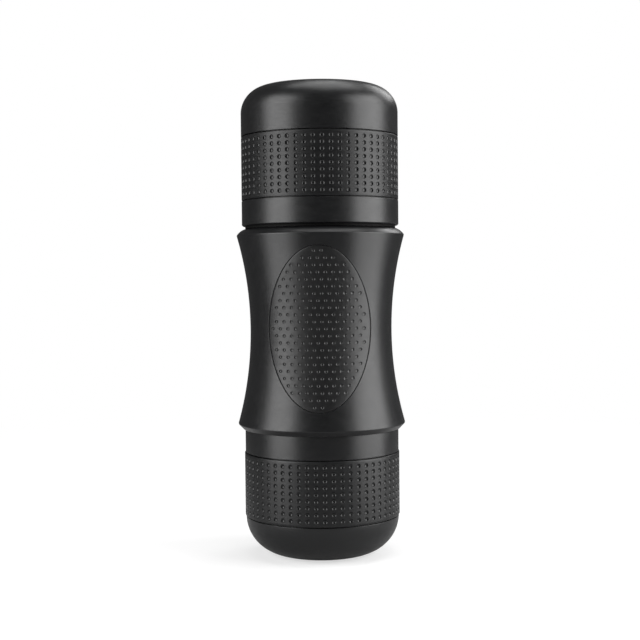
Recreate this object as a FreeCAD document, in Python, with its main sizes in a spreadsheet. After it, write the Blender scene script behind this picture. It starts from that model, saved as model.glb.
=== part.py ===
"""A handheld manual espresso maker: a pump on an inclined branch, a water tank, an outlet head and a cup.

It stands closed on its cup. Z runs up the body's axis, the grip faces -Y and the pump's branch leans to +Y.
Lengths are in millimetres, and the origin is the centre of the cup's foot.
"""
import FreeCAD, Part
import Sketcher
import math
import os
import re

SIZES = {
    # Fits, each a gap between two pieces
    "fit_gap": 0.05,
    "seat_gap": 0.05,
    "running_gap": 0.08,
    "seam_gap": 0.2,
    "shell_gap": 0.1,
    # Outlet head, from which the radii of the cup and the neck follow
    "head_radius": 25.0,
    "head_taper": 0.4,
    "head_lift": 2.4,
    "head_height": 36.4,
    "head_edge": 0.5,
    "nose_height": 14.8,
    "nose_turn": 15.0,
    "dish_radius": 14.0,
    "dish_depth": 1.3,
    "dish_lip": 0.8,
    "funnel_floor": 2.1,
    "funnel_turn": 12.0,
    "collar_step": 2.8,
    "collar_wall": 1.3,
    "collar_height": 9.0,
    "outlet_radius": 5.2,
    "spout_bore": 3.4,
    "spout_flange": 1.4,
    "spout_flange_height": 0.9,
    "head_seal_height": 0.9,
    # Cup
    "cup_rim_wall": 1.9,
    "cup_wall": 3.0,
    "cup_floor": 2.2,
    "cup_turn": 14.5,
    "cup_inner_turn": 12.4,
    "cup_rim_rise": 7.9,
    "cup_edge": 0.7,
    "cup_sleeve_proud": 0.3,
    "cup_sleeve_start": 14.5,
    "cup_sleeve_height": 23.75,
    "sleeve_wall": 1.1,
    # Filter basket
    "basket_clearance": 0.6,
    "basket_wall": 0.7,
    "basket_depth": 18.0,
    "basket_turn": 2.0,
    "basket_lip": 1.7,
    "gasket_height": 1.5,
    "hole_radius": 0.75,
    "hole_ring": 6.0,
    "hole_ring_count": 6,
    # Neck and screen
    "collar_clearance": 0.4,
    "thread_height": 1.2,
    "thread_clearance": 0.6,
    "thread_pitch": 2.0,
    "thread_width": 1.3,
    "thread_foot": 1.25,
    "rim_gap": 0.7,
    "flange_height": 2.4,
    "deck_height": 5.1,
    "screen_clearance": 0.8,
    "screen_height": 0.8,
    "water_rim": 2.8,
    "water_depth": 1.0,
    "boss_radius": 3.2,
    "screen_screw_radius": 1.45,
    "screen_screw_length": 4.3,
    "screen_screw_head": 2.7,
    "screen_screw_head_height": 1.1,
    "screen_screw_bevel": 0.55,
    # Body shell, hung from the cup's rim
    "shell_wall": 2.2,
    "lip_overlap": 2.0,
    "lip_clearance": 0.4,
    "lip_wall": 0.3,
    "lip_rise": 2.2,
    "lip_flare": 1.77,
    "body_height": 74.5,
    "waist_depth": 4.77,
    "shoulder_drop": 2.8,
    "shoulder_bulge": 1.2,
    "shoulder_width": 4.27,
    "shoulder_land": 2.6,
    "crease_turn": 0.5,
    "crease_in": 0.09,
    "crease_up": 0.45,
    # Grip pad
    "grip_rise": 1.1,
    "grip_margin": 5.3,
    "grip_half_width": 18.1,
    "grip_thickness": 1.3,
    "grip_gap": 0.25,
    # Pump on its inclined axis, measured from where that axis meets the body's
    "pump_rise": 16.7,
    "pump_tilt": 55.0,
    "rod_radius": 10.0,
    "rod_rest": 6.0,
    "rod_wall": 2.5,
    "rod_crown": 4.0,
    "rod_edge": 0.6,
    "barrel_play": 0.4,
    "barrel_wall": 2.0,
    "barrel_seal_height": 0.9,
    "chamber_end": 6.0,
    "bush_wall": 1.42,
    "bush_recess": 0.2,
    "branch_space": 1.15,
    "branch_wall": 2.2,
    "branch_clearance": 3.0,
    "branch_length": 38.5,
    "branch_cap": 2.5,
    "branch_edge": 1.0,
    "groove_depth": 1.2,
    "groove_width": 2.0,
    "groove_start": 1.6,
    "groove_spacing": 4.0,
    "seal_ease": 0.4,
    "spring_clearance": 0.6,
    "spring_wire": 0.6,
    "spring_turns": 6,
    "knob_overhang": 0.15,
    "knob_height": 4.0,
    "knob_gap": 0.3,
    "knob_edge": 1.1,
    "knob_bevel": 1.3,
    "knob_neck_step": 1.4,
    "knob_neck_height": 3.5,
    "lug_half_width": 2.0,
    "lug_height": 1.5,
    "lug_foot": 1.17,
    # Manifold under the pump, with its valves
    "manifold_margin": 4.5,
    "manifold_flange_height": 3.0,
    "manifold_drop": 2.1,
    "socket_wall": 2.0,
    "socket_length": 8.0,
    "arm_radius": 5.0,
    "arm_offset": 13.0,
    "arm_drop": 6.1,
    "passage_radius": 1.4,
    "outlet_offset": 9.0,
    "inlet_rise": 4.9,
    "valve_radius": 3.3,
    "valve_height": 2.4,
    "valve_disc": 1.2,
    "valve_lip": 0.6,
    "valve_taper": 1.4,
    "plug_depth": 3.15,
    "plug_overhang": 1.3,
    "plug_flange_height": 1.5,
    "nipple_radius": 1.95,
    "nipple_length": 5.5,
    "nipple_bore": 1.2,
    "tube_wall": 1.2,
    "screw_count": 3,
    "screw_radius": 1.2,
    "screw_head": 2.3,
    "screw_head_height": 1.6,
    "screw_depth": 2.8,
    # Tank seat, gap ring and tank, which follow from the body's shoulder
    "seat_depth": 7.9,
    "seat_floor": 2.5,
    "seat_wall": 2.4,
    "seat_rise": 7.7,
    "seat_step": 0.9,
    "seat_thread_foot": 0.9,
    "seat_thread_height": 0.7,
    "ring_width": 1.1,
    "tank_gap": 0.9,
    "tank_skirt": 2.2,
    "tank_wall": 3.0,
    "tank_gasket_height": 0.5,
    "tank_sleeve_height": 23.5,
    "tank_dome": 19.8,
    "tank_crown": 1.4,
    "tank_shoulder": 7.7,
    "tank_turn": 10.0,
    "tank_turn_height": 10.3,
    "tank_edge": 0.4,
}

# Places and sizes that follow from the driving ones, each after those that it names
FOLLOWING = {
    # Up the cup and the head
    "head_bottom": "cup_floor + head_lift",
    "dish_floor": "head_bottom + dish_depth",
    "funnel_base": "dish_floor + funnel_floor",
    "head_shoulder": "head_bottom + head_height",
    "collar_radius": "head_radius - collar_step",
    "head_bore": "collar_radius - collar_wall",
    "collar_top": "head_shoulder + collar_height",
    "neck_face": "head_shoulder + head_seal_height + seat_gap",
    "thread_crest": "head_radius + thread_height",
    "thread_start": "neck_face + thread_foot",
    "cup_socket_radius": "thread_crest + thread_clearance",
    "cup_socket_floor": "thread_start - rim_gap",
    "cup_radius": "cup_socket_radius + cup_rim_wall",
    "cup_rim": "head_shoulder + cup_rim_rise",
    "cup_foot_radius": "cup_radius - cup_turn",
    "cup_turn_top": "cup_sleeve_start - seam_gap",
    "cup_turn_radius": "cup_foot_radius + sqrt(cup_turn^2 - (cup_turn - cup_turn_top)^2)",
    "cup_bore": "cup_radius - cup_wall",
    "cup_sleeve_radius": "cup_radius + cup_sleeve_proud",
    "cup_sleeve_seat": "cup_sleeve_radius - sleeve_wall - fit_gap",
    "cup_sleeve_end": "cup_sleeve_start + cup_sleeve_height",
    # Basket, screen and neck
    "basket_radius": "head_bore - basket_clearance",
    "basket_bore": "basket_radius - basket_wall",
    "lip_seat": "collar_top + seat_gap",
    "lip_top": "lip_seat + basket_wall",
    "basket_bottom": "lip_top - basket_depth",
    "ceiling": "lip_top + gasket_height + seat_gap",
    "socket_radius": "collar_radius + collar_clearance",
    "screen_radius": "basket_bore - screen_clearance",
    "screen_seat": "ceiling + screen_height + seat_gap",
    "water_radius": "screen_radius - water_rim",
    "water_top": "screen_seat + water_depth",
    "screen_screw_face": "ceiling - seat_gap",
    "screen_screw_foot": "screen_screw_face - screen_screw_head_height",
    "screen_screw_top": "screen_seat + screen_screw_length",
    "flange_radius": "cup_radius - seam_gap",
    "flange_face": "cup_rim + rim_gap",
    "deck_radius": "head_radius - head_edge",
    "deck_top": "ceiling + deck_height",
    # Body shell
    "lip_bore": "cup_radius + lip_clearance",
    "lip_edge": "lip_bore + lip_wall",
    "lip_height": "cup_rim - lip_overlap",
    "flare_radius": "lip_edge + lip_flare",
    "flare_low": "lip_height + lip_rise",
    "shoulder_height": "lip_height + body_height",
    "flare_high": "shoulder_height - shoulder_drop",
    "waist_height": "(flare_low + flare_high) / 2",
    "flare_reach": "(flare_high - flare_low) / 2",
    "waist_radius": "flare_radius - waist_depth",
    "waist_curve": "(flare_reach^2 + waist_depth^2) / (2 * waist_depth)",
    "inner_waist": "waist_radius - shell_wall",
    "inner_curve": "waist_curve + shell_wall",
    "seat_radius": "flare_radius - shoulder_width",
    "seat_bore": "seat_radius + shell_gap",
    "shoulder_edge": "seat_bore + seam_gap",
    "shoulder_span": "flare_radius - crease_in - shoulder_edge",
    "shoulder_turn": "shoulder_bulge * sqrt(shoulder_span^2 + (shoulder_drop - crease_up)^2)",
    "flange_bore": "flange_radius + shell_gap",
    "ledge_top": "flange_face + flange_height + shell_gap",
    "ledge_radius": "inner_waist + inner_curve - sqrt(inner_curve^2 - (waist_height - ledge_top)^2)",
    "seat_base": "shoulder_height - seat_depth",
    "throat_low": "seat_base - shell_gap",
    "throat_radius": "inner_waist + inner_curve - sqrt(inner_curve^2 - (throat_low - waist_height)^2)",
    "grip_height": "waist_height + grip_rise",
    "grip_half_height": "flare_reach - grip_margin",
    # Pump, across its axis and then along it
    "rod_bore": "rod_radius - rod_wall",
    "groove_radius": "rod_radius - groove_depth",
    "spring_radius": "rod_bore - spring_clearance - spring_wire",
    "barrel_bore": "rod_radius + barrel_play",
    "barrel_radius": "barrel_bore + barrel_wall",
    "socket_outer": "barrel_radius + fit_gap + socket_wall",
    "bush_radius": "rod_radius + running_gap + bush_wall",
    "branch_bore": "barrel_radius + branch_space",
    "branch_radius": "branch_bore + branch_wall",
    "knob_radius": "branch_radius + knob_overhang",
    "knob_neck_radius": "rod_radius - knob_neck_step",
    "lug_radius": "rod_radius - seam_gap",
    "lug_reach": "sqrt(lug_radius^2 - lug_half_width^2)",
    "pump_height": "deck_top + pump_rise",
    "barrel_start": "chamber_end + barrel_seal_height + seat_gap",
    "socket_end": "chamber_end + socket_length",
    "branch_start": "socket_end + branch_clearance",
    "branch_end": "branch_start + branch_length",
    "cap_face": "branch_end - branch_cap",
    "barrel_end": "cap_face - seat_gap",
    "knob_face": "branch_end + knob_gap",
    "rod_start": "chamber_end + rod_rest",
    "rod_end": "knob_face - knob_neck_height",
    "rod_roof": "rod_end - rod_crown",
    # Manifold
    "manifold_base": "deck_top + seat_gap",
    "manifold_top": "pump_height - manifold_drop",
    "manifold_flange": "deck_radius - manifold_margin",
    "manifold_flange_top": "manifold_base + manifold_flange_height",
    "screw_circle": "manifold_flange - screw_head - seam_gap",
    "manifold_radius": "screw_circle - screw_head - screw_radius",
    "arm_start": "pump_height - arm_drop",
    "inlet_height": "pump_height + inlet_rise",
    "outlet_valve_top": "manifold_base + valve_height + seat_gap",
    "inlet_valve_base": "inlet_height + passage_radius + seat_gap",
    "inlet_valve_foot": "inlet_valve_base - seat_gap",
    "inlet_valve_top": "inlet_valve_base + valve_height",
    "arm_top": "inlet_valve_top + plug_depth",
    "valve_bore": "valve_radius + fit_gap",
    "plug_flange": "valve_radius + plug_overhang",
    "plug_flange_base": "arm_top + seat_gap",
    "plug_flange_top": "plug_flange_base + plug_flange_height",
    "nipple_top": "arm_top + plug_flange_height + nipple_length",
    "screw_under_head": "manifold_flange_top + seat_gap",
    # Tank
    "tank_bottom": "shoulder_height + tank_gap",
    "seat_top": "tank_bottom + seat_rise",
    "seat_bore_radius": "seat_radius - seat_wall",
    "seat_thread_root": "seat_radius - seat_step",
    "seat_thread_crest": "seat_thread_root + seat_thread_height",
    "seat_thread_start": "tank_bottom + seat_thread_foot",
    "ring_radius": "seat_radius + ring_width",
    "tank_socket_radius": "seat_radius + shell_gap",
    "tank_radius": "tank_socket_radius + tank_skirt",
    "tank_bore": "tank_radius - tank_wall",
    "tank_step": "seat_top + tank_gasket_height + seam_gap / 2",
    "tank_sleeve_start": "tank_step + sleeve_wall",
    "tank_sleeve_end": "tank_sleeve_start + tank_sleeve_height",
    "tank_sleeve_seat": "tank_radius - sleeve_wall - fit_gap",
    "tank_top": "tank_sleeve_end + tank_dome",
    "tank_corner": "tank_top - tank_crown",
    "tank_crown_radius": "tank_radius - tank_shoulder",
    "tank_crown_curve": "(tank_crown_radius^2 + tank_crown^2) / (2 * tank_crown)",
    "tank_roof": "tank_corner - tank_wall / 2",
    "tank_inner_turn": "tank_turn - tank_wall / 2",
}

PUMP_AXIS = FreeCAD.Vector(-1, 0, 0)
UPRIGHT_AXIS, FLAT_AXIS = range(-2, 0)
ORIGIN = FLAT_AXIS
START, END, CENTRE = range(1, 4)

document = FreeCAD.newDocument("espresso_maker")
sheet = document.addObject("Spreadsheet::Sheet", "Sizes")
nodes = []


def fill_sheet():
    """Write each size into its own cell, beside its name, as a number or a formula of the sizes above it."""
    values = {**SIZES, **{name: f"={formula}" for name, formula in FOLLOWING.items()}}
    for row, (name, value) in enumerate(values.items(), start=1):
        sheet.set(f"A{row}", name)
        sheet.set(f"B{row}", str(value))
        sheet.setAlias(f"B{row}", name)
    document.recompute()


def bound(text):
    """Point every size named in an expression at its cell."""
    names = {*SIZES, *FOLLOWING}
    cell = lambda word: f"Sizes.{word[0]}" if word[0] in names else word[0]
    return re.sub(r"[a-z][a-z_]*", cell, str(text))


def size(text):
    """The number that an expression of named sizes comes to now."""
    value = sheet.evalExpression(bound(text))
    return float(getattr(value, "Value", value))


def bind(thing, path, text):
    thing.setExpression(path, bound(text))


def node(thing, name):
    """Give a finished piece the name of its file."""
    thing.Label = name
    nodes.append(thing)
    return thing


def plane(body, role):
    """One of a body's own origin planes."""
    return next(feature for feature in body.Origin.OriginFeatures if feature.Role == role)


def new_sketch(body, role, height=None):
    """A sketch on one of the body's origin planes, raised along its normal if a height is named."""
    sketch = body.newObject("Sketcher::SketchObject", f"{body.Name}_sketch")
    sketch.AttachmentSupport = [(plane(body, role), "")]
    sketch.MapMode = "FlatFace"
    if height is not None:
        bind(sketch, "AttachmentOffset.Base.z", height)
    return sketch


def hold(sketch, element, end, across, up):
    """Tie one point of a sketch to its two named coordinates."""
    for kind, axis, text in (("DistanceX", UPRIGHT_AXIS, across), ("DistanceY", FLAT_AXIS, up)):
        if str(text) == "0":
            sketch.addConstraint(Sketcher.Constraint("PointOnObject", element, end, axis))
        else:
            index = sketch.addConstraint(Sketcher.Constraint(kind, ORIGIN, START, element, end, size(text)))
            bind(sketch, f"Constraints[{index}]", text)


def arc_centre(start, end, radius, side):
    """Centre of the short arc from start to end: side 1 turns left, side -1 turns right."""
    chord = end - start
    middle = (start + end) * 0.5
    reach = math.sqrt(max(radius**2 - (chord.Length / 2) ** 2, 0.0))
    left = FreeCAD.Vector(-chord.y, chord.x, 0) / chord.Length
    return middle + left * reach * side


def draw(sketch, corners):
    """Draw a closed outline of corners (across, up), or (across, up, radius, side) where an arc leaves."""
    places = [FreeCAD.Vector(size(corner[0]), size(corner[1]), 0) for corner in corners]
    ends = []
    for index, corner in enumerate(corners):
        start = places[index]
        stop = places[(index + 1) % len(corners)]
        if len(corner) == 2:
            element = sketch.addGeometry(Part.LineSegment(start, stop), False)
            ends.append((element, START, END))
            continue
        radius = size(corner[2])
        centre = arc_centre(start, stop, radius, corner[3])
        first, last = (start, stop) if corner[3] > 0 else (stop, start)
        angles = [math.atan2(point.y - centre.y, point.x - centre.x) for point in (first, last)]
        circle = Part.Circle(centre, FreeCAD.Vector(0, 0, 1), radius)
        element = sketch.addGeometry(Part.ArcOfCircle(circle, *angles), False)
        ends.append((element, START, END) if corner[3] > 0 else (element, END, START))
    for index, corner in enumerate(corners):
        element, start, stop = ends[index]
        following, joined, _ = ends[(index + 1) % len(corners)]
        sketch.addConstraint(Sketcher.Constraint("Coincident", element, stop, following, joined))
        hold(sketch, element, start, corner[0], corner[1])
        if len(corner) > 2:
            held = sketch.addConstraint(Sketcher.Constraint("Radius", element, size(corner[2])))
            bind(sketch, f"Constraints[{held}]", corner[2])
    return sketch


def lean(thing):
    """Lay a piece that was drawn upright along the pump's inclined axis."""
    thing.Placement = FreeCAD.Placement(FreeCAD.Vector(), FreeCAD.Rotation(PUMP_AXIS, size("pump_tilt")))
    bind(thing, "Placement.Base.z", "pump_height")
    bind(thing, "Placement.Rotation.Angle", "pump_tilt * 1 deg")
    return thing


def turned(name, corners, at=None):
    """A body turned about its own upright axis from an outline of radius and height."""
    body = document.addObject("PartDesign::Body", name)
    sketch = draw(new_sketch(body, "XZ_Plane"), corners)
    turn = body.newObject("PartDesign::Revolution", f"{name}_turn")
    turn.Profile = sketch
    turn.ReferenceAxis = (sketch, ["V_Axis"])
    turn.Angle = 360
    if at is not None:
        bind(body, "Placement.Base.y", at)
    document.recompute()
    return body


def drilled(body, radius, at, low, high):
    """A round hole through a body, parallel to its axis, at a distance along its Y."""
    sketch = new_sketch(body, "XY_Plane", low)
    middle = FreeCAD.Vector(0, size(at), 0)
    circle = sketch.addGeometry(Part.Circle(middle, FreeCAD.Vector(0, 0, 1), size(radius)), False)
    hold(sketch, circle, CENTRE, "0", at)
    held = sketch.addConstraint(Sketcher.Constraint("Radius", circle, size(radius)))
    bind(sketch, f"Constraints[{held}]", radius)
    hole = body.newObject("PartDesign::Pocket", f"{body.Name}_hole")
    hole.Profile = sketch
    hole.Reversed = True
    bind(hole, "Length", f"({high}) - ({low})")
    document.recompute()
    return hole


def ring_of(body, feature, count):
    """Repeat one feature around the body's axis."""
    pattern = body.newObject("PartDesign::PolarPattern", f"{feature.Name}_ring")
    pattern.Originals = [feature]
    pattern.Axis = (plane(body, "Z_Axis"), [""])
    pattern.Angle = 360
    if str(count).isdigit():
        pattern.Occurrences = int(count)
    else:
        bind(pattern, "Occurrences", count)
    body.Tip = pattern
    document.recompute()
    return pattern


def ring_holes(body, low, high, rings):
    """Rings of holes through a thin round plate, each ring with as many more holes as it is wider."""
    for step in range(1, rings + 1):
        hole = drilled(body, "hole_radius", f"hole_ring * {step}", low, high)
        ring_of(body, hole, f"hole_ring_count * {step}")


def cylinder(name, radius, low, high, across=None):
    """A plain upright cylinder between two heights."""
    piece = document.addObject("Part::Cylinder", name)
    bind(piece, "Radius", radius)
    bind(piece, "Height", f"({high}) - ({low})")
    bind(piece, "Placement.Base.z", low)
    if across is not None:
        bind(piece, "Placement.Base.y", across)
    return piece


def leaning_cylinder(name, radius, low, high):
    """A plain cylinder on the pump's axis between two distances along it."""
    piece = lean(document.addObject("Part::Cylinder", name))
    bind(piece, "Radius", radius)
    bind(piece, "Height", f"({high}) - ({low})")
    bind(piece, "Placement.Base.y", f"({low}) * sin(pump_tilt * 1 deg)")
    bind(piece, "Placement.Base.z", f"pump_height + ({low}) * cos(pump_tilt * 1 deg)")
    return piece


def joined(name, pieces):
    fusion = document.addObject("Part::MultiFuse", name)
    fusion.Shapes = pieces
    return fusion


def cut(name, base, tool):
    result = document.addObject("Part::Cut", name)
    result.Base = base
    result.Tool = tool
    return result


def band(inner, outer, low, high):
    """The outline of a plain ring."""
    return [(inner, low), (outer, low), (outer, high), (inner, high)]


def threads(root, crest, start, count):
    """The outline of a few thread ridges, going up a wall."""
    outline = []
    for ridge in range(count):
        foot = f"{start} + {ridge} * thread_pitch"
        outline += [
            (root, foot),
            (crest, f"{foot} + thread_width * 0.3"),
            (crest, f"{foot} + thread_width * 0.7"),
            (root, f"{foot} + thread_width"),
        ]
    return outline


def make_cup():
    bowl = turned(
        "cup_bowl",
        [
            ("0", "0"),
            ("cup_foot_radius", "0", "cup_turn", 1),
            ("cup_turn_radius", "cup_turn_top"),
            ("cup_sleeve_seat", "cup_turn_top"),
            ("cup_sleeve_seat", "cup_sleeve_end + seam_gap"),
            ("cup_radius", "cup_sleeve_end + seam_gap"),
            ("cup_radius", "cup_rim - cup_edge", "cup_edge", 1),
            ("cup_radius - cup_edge", "cup_rim"),
            ("cup_socket_radius + cup_edge / 2", "cup_rim"),
            ("cup_socket_radius", "cup_rim - cup_edge / 2"),
            ("cup_socket_radius", "cup_socket_floor"),
            ("cup_bore", "cup_socket_floor"),
            ("cup_bore", "cup_floor + cup_inner_turn", "cup_inner_turn", -1),
            ("cup_bore - cup_inner_turn", "cup_floor"),
            ("0", "cup_floor"),
        ],
    )
    node(bowl, "cup_bowl")
    inner = "cup_sleeve_seat + fit_gap"
    sleeve = sleeve_outline(inner, "cup_sleeve_radius", "cup_sleeve_start", "cup_sleeve_end")
    node(turned("cup_sleeve", sleeve), "cup_sleeve")


def sleeve_outline(inner, outer, low, high):
    """A textured sleeve's ring, with its outer corners eased."""
    return [
        (inner, low),
        (f"{outer} - seam_gap", low),
        (outer, f"{low} + seam_gap"),
        (outer, f"{high} - seam_gap"),
        (f"{outer} - seam_gap", high),
        (inner, high),
    ]


def make_head():
    head = turned(
        "outlet_head",
        [
            ("outlet_radius", "dish_floor"),
            ("dish_radius - dish_lip", "dish_floor"),
            ("dish_radius - dish_lip / 2", "head_bottom"),
            ("dish_radius", "head_bottom", "nose_turn", 1),
            ("head_radius - head_taper", "head_bottom + nose_height"),
            ("head_radius", "head_shoulder - head_edge", "head_edge", 1),
            ("head_radius - head_edge", "head_shoulder"),
            ("collar_radius", "head_shoulder"),
            ("collar_radius", "collar_top - head_edge"),
            ("collar_radius - head_edge", "collar_top"),
            ("head_bore", "collar_top"),
            ("head_bore", "funnel_base + funnel_turn", "funnel_turn", -1),
            ("head_bore - funnel_turn", "funnel_base"),
            ("outlet_radius", "funnel_base"),
        ],
    )
    node(head, "outlet_head")
    insert = turned(
        "spout_insert",
        [
            ("spout_bore", "head_bottom + dish_lip / 2"),
            ("outlet_radius - fit_gap - dish_lip", "head_bottom + dish_lip / 2"),
            ("outlet_radius - fit_gap", "dish_floor"),
            ("outlet_radius - fit_gap", "funnel_base + seat_gap"),
            ("outlet_radius + spout_flange", "funnel_base + seat_gap"),
            ("outlet_radius + spout_flange", "funnel_base + seat_gap + spout_flange_height"),
            ("spout_bore", "funnel_base + seat_gap + spout_flange_height"),
        ],
    )
    node(insert, "spout_insert")
    seal_top = "head_shoulder + head_seal_height"
    seal = band("collar_radius + fit_gap", "head_radius - head_edge", "head_shoulder", seal_top)
    node(turned("head_seal", seal), "head_seal")


def make_basket():
    basket = turned(
        "filter_basket",
        [
            ("0", "basket_bottom"),
            ("basket_radius - basket_turn", "basket_bottom", "basket_turn", 1),
            ("basket_radius", "basket_bottom + basket_turn"),
            ("basket_radius", "lip_seat"),
            ("basket_radius + basket_lip", "lip_seat"),
            ("basket_radius + basket_lip", "lip_top"),
            ("basket_bore", "lip_top"),
            ("basket_bore", "basket_bottom + basket_turn", "basket_turn - basket_wall", -1),
            ("basket_radius - basket_turn", "basket_bottom + basket_wall"),
            ("0", "basket_bottom + basket_wall"),
        ],
    )
    under = "basket_bottom - basket_wall"
    over = "basket_bottom + 2 * basket_wall"
    drilled(basket, "hole_radius", "0", under, over)
    ring_holes(basket, under, over, 2)
    node(basket, "filter_basket")
    gasket = band("basket_radius", "basket_radius + basket_lip", "lip_top", "lip_top + gasket_height")
    node(turned("basket_gasket", gasket), "basket_gasket")


def make_neck():
    neck = turned(
        "brew_neck",
        [
            ("0", "screen_seat"),
            ("boss_radius", "screen_seat"),
            ("boss_radius", "water_top"),
            ("water_radius", "water_top"),
            ("water_radius", "screen_seat"),
            ("screen_radius + fit_gap", "screen_seat"),
            ("screen_radius + fit_gap", "ceiling"),
            ("socket_radius", "ceiling"),
            ("socket_radius", "neck_face"),
            ("head_radius - head_edge", "neck_face"),
            ("head_radius", "neck_face + head_edge"),
            *threads("head_radius", "thread_crest", "thread_start", 3),
            ("head_radius", "flange_face"),
            ("flange_radius", "flange_face"),
            ("flange_radius", "flange_face + flange_height"),
            ("deck_radius", "flange_face + flange_height"),
            ("deck_radius", "deck_top"),
            ("0", "deck_top"),
        ],
    )
    drilled(neck, "screen_screw_radius + fit_gap", "0", "screen_seat - water_depth", "screen_screw_top")
    drilled(neck, "passage_radius", "outlet_offset", "water_top - water_depth", "deck_top + water_depth")
    screw_foot = "deck_top - screw_depth - seat_gap"
    screw_hole = drilled(neck, "screw_radius + fit_gap", "screw_circle", screw_foot, "deck_top")
    ring_of(neck, screw_hole, "screw_count")
    node(neck, "brew_neck")
    screen = turned(
        "dispersion_screen",
        band("screen_screw_radius + fit_gap", "screen_radius", "ceiling", "ceiling + screen_height"),
    )
    ring_holes(screen, "ceiling - screen_height", "ceiling + 2 * screen_height", 2)
    node(screen, "dispersion_screen")
    screw = turned(
        "screen_screw",
        [
            ("0", "screen_screw_foot"),
            ("screen_screw_head - screen_screw_bevel", "screen_screw_foot"),
            ("screen_screw_head", "screen_screw_foot + screen_screw_bevel"),
            ("screen_screw_head", "screen_screw_face"),
            ("screen_screw_radius", "screen_screw_face"),
            ("screen_screw_radius", "screen_screw_top - seat_gap"),
            ("0", "screen_screw_top - seat_gap"),
        ],
    )
    node(screw, "screen_screw")


def shell_outline():
    """The body's wall, waisted outside and in, from its lower lip to its shoulder."""
    return [
        ("lip_bore", "lip_height"),
        ("lip_edge", "lip_height"),
        ("flare_radius - crease_in", "flare_low - crease_up", "crease_turn", 1),
        ("flare_radius", "flare_low", "waist_curve", -1),
        ("flare_radius", "flare_high", "crease_turn", 1),
        ("flare_radius - crease_in", "flare_high + crease_up", "shoulder_turn", 1),
        ("shoulder_edge", "shoulder_height"),
        ("seat_bore", "shoulder_height - seam_gap"),
        ("seat_bore", "throat_low + shoulder_land"),
        ("throat_radius", "throat_low", "inner_curve", 1),
        ("ledge_radius", "ledge_top"),
        ("flange_bore", "ledge_top"),
        ("flange_bore", "flange_face - seam_gap"),
        ("lip_bore", "flange_face - seam_gap"),
    ]


def grip_prism(name, clearance):
    """An upright oval pushed out through the body's front, grown by a clearance."""
    oval = document.addObject("Part::Ellipse", f"{name}_oval")
    bind(oval, "MajorRadius", f"grip_half_height + {clearance}")
    bind(oval, "MinorRadius", f"grip_half_width + {clearance}")
    oval.Placement = FreeCAD.Placement(FreeCAD.Vector(), FreeCAD.Rotation(0, -90, -90))
    bind(oval, "Placement.Base.z", "grip_height")
    prism = document.addObject("Part::Extrusion", name)
    prism.Base = oval
    prism.DirMode = "Custom"
    prism.Dir = FreeCAD.Vector(0, -1, 0)
    prism.Solid = True
    bind(prism, "LengthFwd", "flare_radius + shell_wall")
    return prism


def grip_layer(name, outside, depth):
    """A layer of the waisted body's outside, reaching in by a depth and out by another."""
    reach = "(grip_half_height + shell_wall)"
    outer_curve = f"(waist_curve - {outside})"
    inner_curve = f"(waist_curve + {depth})"
    outer = f"waist_radius + {outside} + {outer_curve} - sqrt({outer_curve}^2 - {reach}^2)"
    inner = f"waist_radius - ({depth}) + {inner_curve} - sqrt({inner_curve}^2 - {reach}^2)"
    return turned(
        name,
        [
            (outer, f"waist_height - {reach}", outer_curve, -1),
            (outer, f"waist_height + {reach}"),
            (inner, f"waist_height + {reach}", inner_curve, 1),
            (inner, f"waist_height - {reach}"),
        ],
    )


def make_shell():
    blank = turned("shell_blank", shell_outline())
    window = leaning_cylinder("branch_window", "branch_radius + shell_gap", "branch_start", "branch_end")
    opened = cut("shell_opened", blank, window)
    recess = document.addObject("Part::Common", "grip_recess")
    recess.Base = grip_layer("recess_layer", "shell_wall", "grip_thickness + fit_gap")
    recess.Tool = grip_prism("recess_prism", "grip_gap")
    node(cut("body_shell", opened, recess), "body_shell")
    pad = document.addObject("Part::Common", "grip_pad")
    pad.Base = grip_layer("pad_layer", "0", "grip_thickness")
    pad.Tool = grip_prism("pad_prism", "0")
    node(pad, "grip_pad")


def make_pump():
    branch = turned(
        "branch_shell",
        [
            ("branch_bore", "branch_start"),
            ("branch_radius", "branch_start"),
            ("branch_radius", "branch_end - branch_edge", "branch_edge", 1),
            ("branch_radius - branch_edge", "branch_end"),
            ("bush_radius + fit_gap", "branch_end"),
            ("bush_radius + fit_gap", "cap_face"),
            ("branch_bore", "cap_face"),
        ],
    )
    node(lean(branch), "branch_shell")
    bush = band("rod_radius + running_gap", "bush_radius", "cap_face", "branch_end - bush_recess")
    node(lean(turned("guide_bush", bush)), "guide_bush")
    barrel = band("barrel_bore", "barrel_radius", "barrel_start", "barrel_end")
    node(lean(turned("pump_barrel", barrel)), "pump_barrel")
    seal = band("barrel_bore", "barrel_radius", "chamber_end", "chamber_end + barrel_seal_height")
    node(lean(turned("barrel_seal", seal)), "barrel_seal")


def groove(index):
    """The foot of one of the piston's two seal grooves."""
    return f"rod_start + groove_start + {index} * groove_spacing"


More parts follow.
